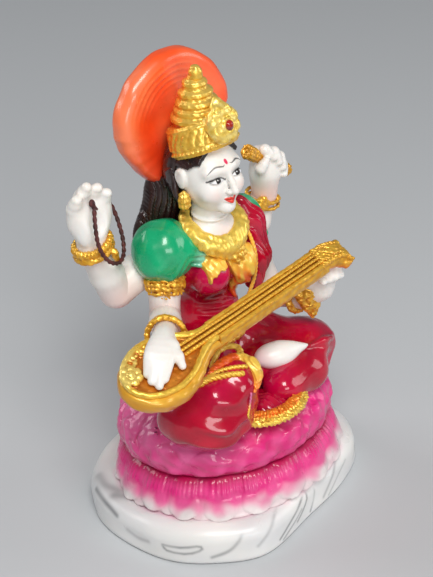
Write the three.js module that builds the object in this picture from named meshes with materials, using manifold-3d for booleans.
// A seated four-armed goddess figurine, cast in white marble-dust resin and hand painted.
// She sits cross-legged on a two-tier lotus, which stands on a rounded slab painted like marble.
// Her front hands play a lute that lies across her lap. Her rear hands are raised: the right one
// holds a loop of prayer cord, which can swing where it leaves the hand, and the left one a scroll.
//
// Frame: millimetres, +Z up, origin in the middle of the slab's underside. She faces -Y, so her
// right hand is on the -X side.
import * as THREE from "three";
import { mergeVertices } from "three/addons/utils/BufferGeometryUtils.js";
import Module from "manifold-3d";

const wasm = await Module();
wasm.setup();

// ---- Driving dimensions -------------------------------------------------------------------

const SLAB_HEIGHT = 12;
const SLAB_EDGE = [
  [43.5, -9],
  [37.5, -23],
  [23, -31],
  [5, -35],
  [-17, -38.6],
  [-31, -30],
  [-40, -17.5],
  [-43, 0],
  [-40.5, 15],
  [-30, 28.5],
  [-10, 36],
  [14, 37.5],
  [34, 29.5],
  [43.5, 11],
]; // a free-form oval, about 87 by 75

const LOTUS_HALF_WIDTH = 35.8;
const LOTUS_DEPTH_SHARE = 0.87; // the lotus is an oval, this much as deep as it is wide
const LOTUS_CENTRE = [1, -2.8, 0];
const LOWER_TIER_TOP = 24.4;
const SEAT_HEIGHT = 40.5;

const SHOULDER_HALF_WIDTH = 14.8;
const SHOULDER_HEIGHT = 90.2;
const CHEST_HEIGHT = 82;
const WAIST_HEIGHT = 62;
const KNEE_HALF_WIDTH = 26.8;
const KNEE_HEIGHT = 45;

const HEAD_CENTRE = [0.4, -5, 113];
const HEAD_RADII = [9.4, 10.2, 12];

const HALO_RADIUS = 21;
const HALO_CENTRE = [0.6, 10, 125.3];
const HALO_THICKNESS = 7;

const LUTE_CENTRE = [-42, -26, 73.6]; // middle of the bowl's face
const LUTE_SLOPE = 0.115; // rise of the neck for each millimetre along it
const LUTE_FACE = [-0.1, -0.43, 0.9]; // the way the strings face
const LUTE_BOWL_RADII = [13, 9.6, 9];
const LUTE_BOWL_SHIFT = 2.2; // the bowl lies this far along the neck from that middle
const LUTE_NECK_END = 66;
const LUTE_NECK_HALF_WIDTH = 3.1;
const STRING_COUNT = 4;

const CORD_DIAMETER = 1.2;

const GAP = 0.35; // space between two pieces that lie on each other
const MERGE_WITHIN = 1e-4;

// ---- Shapes -------------------------------------------------------------------------------
// A shape is a function of how far it is swollen, in millimetres, and returns a solid. A piece
// is cut back from its neighbour by taking away the neighbour's shape, swollen by GAP.

function solidOf(geometry, matrix = new THREE.Matrix4()) {
  const bare = geometry.index ? geometry.toNonIndexed() : geometry.clone();
  bare.deleteAttribute("normal");
  bare.deleteAttribute("uv");
  const merged = mergeVertices(bare.applyMatrix4(matrix), MERGE_WITHIN);
  const corners = merged.index.array;
  const triangles = [];
  for (let i = 0; i < corners.length; i += 3) {
    const [a, b, c] = corners.slice(i, i + 3);
    if (a !== b && b !== c && c !== a) triangles.push(a, b, c);
  }
  return new wasm.Manifold(
    new wasm.Mesh({
      numProp: 3,
      vertProperties: merged.attributes.position.array,
      triVerts: new Uint32Array(triangles),
    }),
  );
}

function placed(centre, turn = [0, 0, 0], scale = [1, 1, 1]) {
  const spin = new THREE.Quaternion().setFromEuler(new THREE.Euler(...turn.map(THREE.MathUtils.degToRad)));
  return new THREE.Matrix4().compose(new THREE.Vector3(...centre), spin, new THREE.Vector3(...scale));
}

// An ellipsoid; turn is in degrees about X, Y and Z.
function ball(centre, radii, turn, sides = 10) {
  return (swell = 0) => {
    const geometry = new THREE.SphereGeometry(1, sides, Math.round(sides * 0.6));
    return solidOf(geometry.rotateX(Math.PI / 2), placed(centre, turn, radii.map((r) => r + swell)));
  };
}

// A round limb with ball ends, from one joint to the next.
function limb(from, to, radiusFrom, radiusTo, sides = 8) {
  return (swell = 0) => {
    const start = new THREE.Vector3(...from);
    const along = new THREE.Vector3(...to).sub(start);
    const quarter = Math.PI / 2;
    const steps = 2;
    const profile = [];
    for (let i = 0; i <= steps; i++) {
      const angle = -quarter + (quarter * i) / steps;
      const r = radiusFrom + swell;
      profile.push(new THREE.Vector2(i ? r * Math.cos(angle) : 0, r * Math.sin(angle)));
    }
    for (let i = 0; i <= steps; i++) {
      const angle = (quarter * i) / steps;
      const r = radiusTo + swell;
      const height = along.length() + r * Math.sin(angle);
      profile.push(new THREE.Vector2(i < steps ? r * Math.cos(angle) : 0, height));
    }
    const upright = new THREE.Vector3(0, 1, 0);
    const spin = new THREE.Quaternion().setFromUnitVectors(upright, along.clone().normalize());
    const matrix = new THREE.Matrix4().compose(start, spin, new THREE.Vector3(1, 1, 1));
    return solidOf(new THREE.LatheGeometry(profile, sides), matrix);
  };
}

// A ring around an axis that starts upright; radii are its two half-widths and its thickness.
function ring(centre, [rx, ry, thick], turn, sides = 16) {
  return (swell = 0) => {
    const geometry = new THREE.TorusGeometry(1, (thick + swell) / rx, 6, sides);
    return solidOf(geometry, placed(centre, turn, [rx, ry, rx]));
  };
}

// A turned body: outline is a list of [radius, height], from the bottom up, with flat ends.
function turned(outline, { centre = [0, 0, 0], turn, depthShare = 1, sides = 28 }) {
  return (swell = 0) => {
    const last = outline.length - 1;
    const profile = outline.map(([r, z], i) => {
      const lift = i === 0 ? -swell : i === last ? swell : 0;
      return new THREE.Vector2(r + swell, z + lift);
    });
    profile.unshift(new THREE.Vector2(0, profile[0].y));
    profile.push(new THREE.Vector2(0, profile.at(-1).y));
    const geometry = new THREE.LatheGeometry(profile, sides).rotateX(Math.PI / 2).scale(1, depthShare, 1);
    return solidOf(geometry, placed(centre, turn));
  };
}

// A flat plate: outline(swell) gives its edge, it is thick along Z, and its edges are rounded.
function plate(outline, thick, round, matrix) {
  return (swell = 0) => {
    const geometry = new THREE.ExtrudeGeometry(new THREE.Shape(outline(swell)), {
      depth: thick - 2 * round + 2 * swell,
      bevelThickness: round,
      bevelSize: round,
      bevelOffset: -round,
      bevelSegments: 1,
      steps: 1,
    });
    return solidOf(geometry.translate(0, 0, round - swell), matrix);
  };
}

// A round cord or roll along a smooth curve through points.
function tube(points, radius, { sides = 8, steps = 32 } = {}) {
  return (swell = 0) => {
    const section = new THREE.Shape();
    for (let i = 0; i < sides; i++) {
      const angle = (2 * Math.PI * i) / sides;
      const at = [(radius + swell) * Math.cos(angle), (radius + swell) * Math.sin(angle)];
      if (i) section.lineTo(...at);
      else section.moveTo(...at);
    }
    const extrudePath = new THREE.CatmullRomCurve3(points.map((p) => new THREE.Vector3(...p)));
    return solidOf(new THREE.ExtrudeGeometry(section, { steps, extrudePath, bevelEnabled: false }));
  };
}

const join = (...shapes) => (swell) => shapes.map((s) => s(swell)).reduce((a, b) => a.add(b));

// ---- Slab and lotus -----------------------------------------------------------------------

function slabOutline(swell) {
  const edge = new THREE.CatmullRomCurve3(SLAB_EDGE.map(([x, y]) => new THREE.Vector3(x, y, 0)), true);
  return edge.getPoints(36).slice(0, -1).reverse().map((p) => {
    const reach = p.length();
    return new THREE.Vector2(p.x, p.y).multiplyScalar((reach + swell) / reach);
  });
}

const slab = plate(slabOutline, SLAB_HEIGHT, 3.5, placed([0, 0, 0]));

const lotusOval = { centre: LOTUS_CENTRE, depthShare: LOTUS_DEPTH_SHARE };
const R = LOTUS_HALF_WIDTH;
const lowerTier = turned(
  [
    [R + 0.5, SLAB_HEIGHT + GAP],
    [R + 1.2, SLAB_HEIGHT + 2.5],
    [R + 0.2, SLAB_HEIGHT + 6],
    [R - 1.5, SLAB_HEIGHT + 9.5],
    [R - 3.5, LOWER_TIER_TOP],
  ],
  lotusOval,
);
const upperTier = turned(
  [
    [R - 3.5, LOWER_TIER_TOP + GAP],
    [R - 1.2, LOWER_TIER_TOP + 2.5],
    [R, LOWER_TIER_TOP + 6.5],
    [R - 1, SEAT_HEIGHT - 5],
    [R - 4, SEAT_HEIGHT - 2],
    [R - 8.6, SEAT_HEIGHT],
  ],
  lotusOval,
);

// ---- Lute ---------------------------------------------------------------------------------
// In the lute's own axes X runs along the neck, Z out of the strings' side, and the middle of
// the bowl's face is the origin.

const luteMatrix = (() => {
  const along = new THREE.Vector3(1, 0, LUTE_SLOPE).normalize();
  const across = new THREE.Vector3().crossVectors(new THREE.Vector3(...LUTE_FACE), along).normalize();
  const out = new THREE.Vector3().crossVectors(along, across);
  return new THREE.Matrix4().makeBasis(along, across, out).setPosition(...LUTE_CENTRE);
})();
const onLute = (x, y, z) => new THREE.Vector3(x, y, z).applyMatrix4(luteMatrix).toArray();

const luteBowl = (swell = 0) => {
  const [length, width, depth] = LUTE_BOWL_RADII.map((r) => r + swell);
  const profile = [];
  const steps = 5;
  for (let i = 0; i <= steps; i++) {
    const angle = (Math.PI / 2) * (i / steps - 1);
    profile.push(new THREE.Vector2(i ? Math.cos(angle) : 0, Math.sin(angle)));
  }
  profile.push(new THREE.Vector2(0, 0));
  const geometry = new THREE.LatheGeometry(profile, 20).rotateX(Math.PI / 2);
  return solidOf(geometry.scale(length, width, depth).translate(LUTE_BOWL_SHIFT, 0, swell), luteMatrix);
};

// The face of the bowl: an oval that draws in to the neck on one side.
function soundboardOutline(swell) {
  const [length, width] = LUTE_BOWL_RADII.map((r) => r + 1 + swell);
  const shoulder = 0.95; // angle from the neck at which the oval ends, in radians
  const shape = new THREE.Path();
  shape.absellipse(LUTE_BOWL_SHIFT, 0, length, width, shoulder, 2 * Math.PI - shoulder, false);
  const oval = shape.getPoints(16);
  const neck = LUTE_NECK_HALF_WIDTH + 0.6 + swell;
  const [flare, end] = [15, 21]; // where the board begins to narrow, and where the neck takes over
  return [
    ...oval,
    new THREE.Vector2(flare, -neck - 1.8),
    new THREE.Vector2(end, -neck),
    new THREE.Vector2(end, neck),
    new THREE.Vector2(flare, neck + 1.8),
  ];
}
const inLute = (x, y, z) => luteMatrix.clone().multiply(placed([x, y, z]));
const soundboard = plate(soundboardOutline, 2, 0.5, inLute(0, 0, GAP));

const neckOutline = (swell) => {
  const wide = LUTE_NECK_HALF_WIDTH + swell;
  const narrow = wide - 0.9;
  const [from, to] = [21.4 - swell, LUTE_NECK_END + swell];
  return [
    new THREE.Vector2(from, -wide),
    new THREE.Vector2(to, -narrow),
    new THREE.Vector2(to, narrow),
    new THREE.Vector2(from, wide),
  ];
};
const luteNeck = plate(neckOutline, 6.5, 1.2, inLute(0, 0, -4));

const STRING_HEIGHT = 4.2;
const stringRow = Array.from({ length: STRING_COUNT }, (_, i) => (i - (STRING_COUNT - 1) / 2) * 1.5);
const luteString = (y) =>
  limb(onLute(-6, y * 1.3, STRING_HEIGHT), onLute(LUTE_NECK_END - 2, y, STRING_HEIGHT), 0.45, 0.45, 5);
const luteStrings = join(
  ...stringRow.map(luteString),
  limb(onLute(-6, -4.6, 3.4), onLute(-6, 4.6, 3.4), 0.75, 0.75, 6),
  limb(onLute(LUTE_NECK_END - 2, -3, 3.7), onLute(LUTE_NECK_END - 2, 3, 3.7), 0.8, 0.8, 6),
);

const luteHead = join(
  limb(onLute(LUTE_NECK_END + 3.6, 0, -0.8), onLute(LUTE_NECK_END + 6.5, 0, -1.4), 3.2, 3),
  limb(onLute(LUTE_NECK_END + 6.5, 0, -1.4), onLute(LUTE_NECK_END + 7.5, -3.6, -2.4), 3, 2.2),
);

// ---- Head and crown -----------------------------------------------------------------------

const [hx, hy, hz] = HEAD_CENTRE;
const head = join(
  ball(HEAD_CENTRE, HEAD_RADII),
  ball([hx, hy - 4.8, hz - 8.4], [4.6, 4.4, 3.8]),
  ball([hx, hy - 10, hz - 1.6], [1.3, 1.6, 2.6], [-12, 0, 0], 8),
  ball([hx - 9.2, hy + 1.2, hz + 0.6], [1.5, 2.4, 3.6], [8, 0, -12], 8),
  ball([hx + 9.2, hy + 1.2, hz + 0.6], [1.5, 2.4, 3.6], [8, 0, 12], 8),
);

const crownBand = turned(
  [
    [9.9, 0],
    [10.6, 1.2],
    [10.1, 5],
    [9.2, 8.2],
  ],
  { centre: [hx, hy, hz + 7.2], turn: [-21, 0, 0], depthShare: 1.04, sides: 18 },
);
const crownTower = turned(
  [
    [8.4, 0],
    [8.8, 1.4],
    [6.8, 3],
    [7, 4.6],
    [5, 6.2],
    [5.1, 7.8],
    [3.6, 9.4],
    [3.6, 10.8],
    [2, 12.4],
  ],
  { centre: [hx, hy + 2.1, hz + 16.4], turn: [2, 0, 0], sides: 14 },
);
const crownFinial = ball([hx, hy + 1.6, hz + 31], [2, 2, 1.7], [0, 0, 0], 8);
const crownPlate = ball([hx, hy - 8.6, hz + 17.8], [6.4, 2.4, 6.2], [-14, 0, 0]);
const crownJewel = ball([hx, hy - 10.9, hz + 17.6], [1.5, 1.1, 1.9], [-14, 0, 0], 8);

function haloOutline(swell) {
  const count = 24;
  return Array.from({ length: count }, (_, i) => {
    const angle = (2 * Math.PI * i) / count;
    const [c, s] = [Math.cos(angle), Math.sin(angle)];
    const narrowing = s < 0 ? 1 + 0.22 * s : 1; // the lower half draws in towards the neck
    return new THREE.Vector2((HALO_RADIUS + swell) * c * narrowing, (HALO_RADIUS + swell) * s);
  });
}
const halo = plate(
  haloOutline,
  HALO_THICKNESS,
  2.8,
  placed([HALO_CENTRE[0], HALO_CENTRE[1] + HALO_THICKNESS / 2, HALO_CENTRE[2]], [90, 0, 0]),
);

const hair = join(
  ball([hx, hy + 3, hz + 1], [11, 10, 12.5]),
  ball([0, 9, 103], [12, 5.5, 12]),
  ball([0, 10, 91], [17.5, 5, 14]),
);

const earring = (side) => ball([hx + side * 9.8, hy - 0.6, hz - 6], [1.9, 2.2, 3], [0, 0, 0], 8);

// ---- Body ---------------------------------------------------------------------------------

const neck = join(limb([0.8, -2.5, 92], [0.6, -4, 102], 5.4, 5), ball([0.8, -4, 92], [10.5, 6.6, 6]));
const blouse = join(
  ball([0.8, -0.6, CHEST_HEIGHT + 1], [13.5, 9.5, 12.5]),
  ball([0, 0.5, WAIST_HEIGHT + 4], [10.6, 8.2, 12]),
  ball([-4, -7.6, CHEST_HEIGHT - 0.5], [6.2, 5.6, 6.2]),
  ball([7.2, -7.6, CHEST_HEIGHT - 0.5], [6.2, 5.6, 6.2]),
);
const pallu = join(
  limb([9.4, -2, 98], [15.4, -3.6, 90], 3.4, 4.8),
  limb([15.4, -3.6, 90], [14, -7.6, 79.5], 4.8, 4.4),
);
const sleeveRight = ball([-SHOULDER_HALF_WIDTH, 0.4, SHOULDER_HEIGHT], [10, 9.2, 9.8], [0, 0, 0], 12);
const sleeveLeft = ball([SHOULDER_HALF_WIDTH + 0.8, 1.6, SHOULDER_HEIGHT - 2.6], [8.4, 8.4, 9.2]);
const armlet = (side) => ring([side * 16.4, -1, 81], [4.9, 4.9, 1.3], [0, side * -8, 0]);

const collar = ring([1.2, -4, 96.6], [9.2, 7.8, 1.6], [34, 0, 0], 18);
const pendant = ball([1.3, -13, 87.6], [2.6, 1.5, 3.2], [0, 0, 0], 8);
const chestSash = join(
  limb([1.6, -13.8, 82.6], [2.2, -12.6, 76], 2.2, 1.8),
  limb([2.2, -12.6, 76], [2.6, -10.8, 70], 1.8, 1.2),
);
const waistBelt = ring([0, 0.6, 57.6], [12.4, 9.8, 1.8], [0, 0, 0], 18);

// ---- Skirt, legs and feet -----------------------------------------------------------------

const kneeLeft = [KNEE_HALF_WIDTH, -15, KNEE_HEIGHT - 0.6];
const kneeRight = [-KNEE_HALF_WIDTH, -19, KNEE_HEIGHT + 2.5];
const hips = ball([0, 3.5, 48.5], [19, 13.5, 13]);
const legLeft = join(
  limb([10, -1, 50], kneeLeft, 11, 8.4),
  limb(kneeLeft, [6, -25.5, 45.2], 8, 6),
  ball([13, -13, 46.5], [13, 9.5, 8]),
);
const legRight = join(
  limb([-10, -1, 50], kneeRight, 11, 9.2),
  limb(kneeRight, [-13.8, -25.3, 55], 9.2, 7.6),
  ball([-21.6, -24.5, 45.6], [11.6, 9.4, 7.8]),
);
const pleats = ball([-1, -25, 41.5], [9.4, 7.6, 3.8]);
const hemPath = Array.from({ length: 9 }, (_, i) => {
  const angle = Math.PI * (1.02 + (0.92 * i) / 8);
  return [-0.6 + 10.6 * Math.cos(angle), -25 + 8.8 * Math.sin(angle), 42.4];
});
const hem = tube(hemPath, 1.6, { steps: 14 });
const foot = limb([2.2, -23, 54.8], [14, -21.4, 52], 3.6, 2.4);
const sashKnot = ball([-12.6, -28.4, 63.4], [3.8, 2.4, 3], [0, 12, 0], 8);
const sashTail = limb([-10.6, -31.4, 59.4], [-9.4, -33.4, 51], 2.2, 1.2);
const legBorder = tube(
  [
    [-26, -26, 61.6],
    [-21, -28, 62.6],
    [-16.4, -28.8, 63.2],
  ],
  1.1,
  { steps: 4 },
);

// ---- Arms and hands -----------------------------------------------------------------------

// Each arm is its shoulder, elbow and wrist.
const armFrontRight = [
  [-15.4, 0, 86],
  [-18.4, -2, 71.4],
  [-28.6, -14.6, 75],
];
const armFrontLeft = [
  [16.4, 0, 85],
  [23.4, -1.6, 62.4],
  [26.2, -14.6, 62.4],
];
const armRearRight = [
  [-13, 7, 86],
  [-27, 9, 79.6],
  [-34.4, 8, 97.6],
];
const armRearLeft = [
  [13, 7, 85],
  [27, 9, 76],
  [31.4, 6.4, 88],
];
const upperArm = ([shoulder, elbow], r) => limb(shoulder, elbow, r, r - 0.3);
const forearm = ([, elbow, wrist], r) => limb(elbow, wrist, r, r - 1);

const bangleFrontRight = ring([-29.2, -15.4, 74.8], [5, 5, 1.1], [64, -37, 0]);
const bangleFrontLeft = ring([26, -13, 62.4], [4.6, 4.6, 1.2], [88, 0, 0]);
const bangleRearRight = ring([-34, 8, 97.8], [5.7, 5, 1.3], [0, -14, 0]);
const bangleRearLeft = ring([31.2, 6.5, 87.6], [5.5, 5, 1.1], [14, 14, 0]);

const finger = (root, tip, r) => limb(root, tip, r, r * 0.85, 6);
const FINGERS = [0, 1, 2, 3];

const frontRightKnuckle = (k) => [-43.2 + 1.4 * k, -25.4 - 1.1 * k, 80.6 - 0.35 * k];
const frontRightTip = (k) => [-46.4 + 0.9 * k, -27.2 - 1.5 * k, 77.2 - 0.6 * k];
const handFrontRight = join(
  limb([-30.4, -16.8, 76.8], [-36.4, -22.6, 80.6], 3.6, 4.2),
  ...FINGERS.map((k) => finger(frontRightKnuckle(k), frontRightTip(k), 1.6)),
  finger([-36, -26.6, 80.4], [-36.4, -31, 77], 1.6),
);

const frontLeftKnuckle = (k) => [32.4 - 2.4 * k, -22.4, 73.6 + 0.2 * k];
const frontLeftTip = (k) => [31 - 2.4 * k, -25.6, 68.4 + 0.4 * k];
const handFrontLeft = join(
  limb([27, -16.4, 63.8], [29.2, -20, 69.4], 3.8, 4.6),
  ...FINGERS.map((k) => finger(frontLeftKnuckle(k), frontLeftTip(k), 1.4)),
);

const handRearRight = join(
  limb([-34.6, 8, 99], [-33.8, 8, 105], 4.2, 5),
  ball([-33.8, 8, 107.4], [7.4, 4.4, 7.4], [0, -8, 0]),
  finger([-38.8, 8, 110], [-39.4, 5, 115.6], 1.9),
  finger([-35.8, 8, 112], [-35.8, 4.6, 118.4], 1.9),
  finger([-32.4, 8, 112], [-32, 4.6, 118], 1.9),
  finger([-29, 8, 109], [-29.4, 4, 114], 1.8),
);

const SCROLL = [
  [24.4, 3.4, 107],
  [40, 5.4, 95],
];
const handRearLeft = join(
  limb([31.8, 6, 89.6], [31.8, 5.4, 96.6], 4, 4.8),
  ball([31.6, 5, 99.4], [5, 4.4, 7], [0, -10, 0], 12),
  finger([28.4, 4, 104], [32, 1.6, 105.4], 1.8),
  finger([34, 4, 102.4], [35.6, 1, 98.4], 1.8),
);
const scroll = limb(...SCROLL, 2.2, 2.2, 10);

// ---- Prayer cord --------------------------------------------------------------------------
// A loop that leaves the rear right palm, hangs in front of the wrist, and comes back to the
// hand from behind.
const CORD_ROUTE = [
  [-35.4, 3.4, 113.4],
  [-36.2, 2, 112.6],
  [-37.3, 0.8, 110.4],
  [-38, 0, 107],
  [-38, -0.4, 103],
  [-36.8, -0.6, 99],
  [-34.4, -0.6, 95.8],
  [-30.8, 0.4, 94],
  [-27.4, 2.6, 94.6],
  [-25, 5.4, 97.4],
  [-23.8, 8.2, 101.5],
  [-23.6, 10.6, 105.5],
  [-24.6, 12.8, 109],
  [-26.8, 13.9, 111.4],
  [-29, 13.2, 112.2],
  [-30.3, 11.6, 111.7],
];
const prayerCord = tube(CORD_ROUTE, CORD_DIAMETER / 2, { steps: 20 });
// The loop is tied where it leaves the palm.
const cordKnot = ball([-35.4, 3.8, 113.6], [1.3, 1.3, 1.4], [0, 0, 0], 8);

// ---- Materials ----------------------------------------------------------------------------

function paint(color, roughness, metalness = 0) {
  return new THREE.MeshStandardMaterial({ color, roughness, metalness });
}
const white = paint(0xf1ebe6, 0.35);
const marble = paint(0xe9e6e4, 0.35);
const pink = paint(0xe0409a, 0.3);
const crimson = paint(0xb00a3a, 0.15);
const green = paint(0x12b070, 0.3);
const gold = paint(0xd9a22e, 0.35, 0.8);
const orange = paint(0xff5a2a, 0.45);
const amber = paint(0xf08a2c, 0.4, 0.3);
const brown = paint(0x2a1014, 0.3);
const ruby = paint(0x8c1c10, 0.15);
const cordBrown = paint(0x4a1c18, 0.6);

// ---- Pieces -------------------------------------------------------------------------------
// In order of precedence: each piece keeps clear of every piece before it by GAP.

const pieces = [
  ["marble_slab", slab, marble],
  ["lotus_lower_tier", lowerTier, pink],
  ["lotus_upper_tier", upperTier, pink],
  ["sari_hem_border", hem, gold],
  ["sash_knot", sashKnot, gold],
  ["sash_tail", sashTail, amber],
  ["leg_border", legBorder, gold],
  ["right_foot", foot, white],
  ["veena_strings", luteStrings, gold],
  ["veena_soundboard", soundboard, gold],
  ["veena_neck", luteNeck, gold],
  ["veena_gourd", luteBowl, gold],
  ["veena_peghead", luteHead, gold],
  ["bangle_front_right", bangleFrontRight, gold],
  ["bangle_front_left", bangleFrontLeft, gold],
  ["bangle_rear_right", bangleRearRight, gold],
  ["bangle_rear_left", bangleRearLeft, gold],
  ["armlet_right", armlet(-1), gold],
  ["armlet_left", armlet(1), gold],
  ["scroll", scroll, gold],
  ["crown_jewel", crownJewel, ruby],
  ["crown_front_plate", crownPlate, gold],
  ["crown_finial", crownFinial, gold],
  ["crown_tower", crownTower, gold],
  ["crown_band", crownBand, gold],
  ["earring_right", earring(-1), gold],
  ["earring_left", earring(1), gold],
  ["necklace_pendant", pendant, gold],
  ["necklace_collar", collar, gold],
  ["chest_sash", chestSash, amber],
  ["waist_belt", waistBelt, gold],
  ["head", head, white],
  ["halo", halo, orange],
  ["hand_front_right", handFrontRight, white],
  ["hand_front_left", handFrontLeft, white],
  ["hand_rear_right", handRearRight, white],
  ["hand_rear_left", handRearLeft, white],
  ["pallu_drape", pallu, crimson],
  ["sleeve_right", sleeveRight, green],
  ["sleeve_left", sleeveLeft, green],
  ["forearm_front_right", forearm(armFrontRight, 4.6), white],
  ["forearm_front_left", forearm(armFrontLeft, 4.8), white],
  ["forearm_rear_right", forearm(armRearRight, 5.2), white],
  ["forearm_rear_left", forearm(armRearLeft, 5), white],
  ["upper_arm_front_right", upperArm(armFrontRight, 4.8), white],
  ["upper_arm_front_left", upperArm(armFrontLeft, 5), white],
  ["upper_arm_rear_right", upperArm(armRearRight, 5.4), white],
  ["upper_arm_rear_left", upperArm(armRearLeft, 5.2), white],
  ["neck_and_chest", neck, white],
  ["blouse", blouse, crimson],
  ["skirt_left_leg", legLeft, crimson],
  ["skirt_right_leg", legRight, crimson],
  ["skirt_pleats", pleats, crimson],
  ["skirt_hips", hips, crimson],
  ["hair", hair, brown],
  ["cord_knot", cordKnot, cordBrown],
  ["prayer_cord", prayerCord, cordBrown],
];

// A cut can leave crumbs beside the piece itself, so only the largest body is kept.
function largestBody(solid) {
  return solid.decompose().reduce((a, b) => (a.volume() > b.volume() ? a : b));
}

const touches = (a, b) => [0, 1, 2].every((k) => a.min[k] <= b.max[k] && b.min[k] <= a.max[k]);

function meshOf(name, solid, material) {
  const made = solid.getMesh();
  const geometry = new THREE.BufferGeometry();
  geometry.setAttribute("position", new THREE.BufferAttribute(new Float32Array(made.vertProperties), 3));
  geometry.setIndex(new THREE.BufferAttribute(new Uint32Array(made.triVerts), 1));
  geometry.computeVertexNormals();
  const mesh = new THREE.Mesh(geometry, material);
  mesh.name = name;
  return mesh;
}

const figurine = new THREE.Group();
const keepOut = [];
for (const [name, shape, material] of pieces) {
  let solid = shape(0);
  for (const grown of keepOut) {
    if (touches(solid.boundingBox(), grown.boundingBox())) solid = solid.subtract(grown);
  }
  figurine.add(meshOf(name, largestBody(solid), material));
  keepOut.push(shape(GAP));
}

export default figurine;
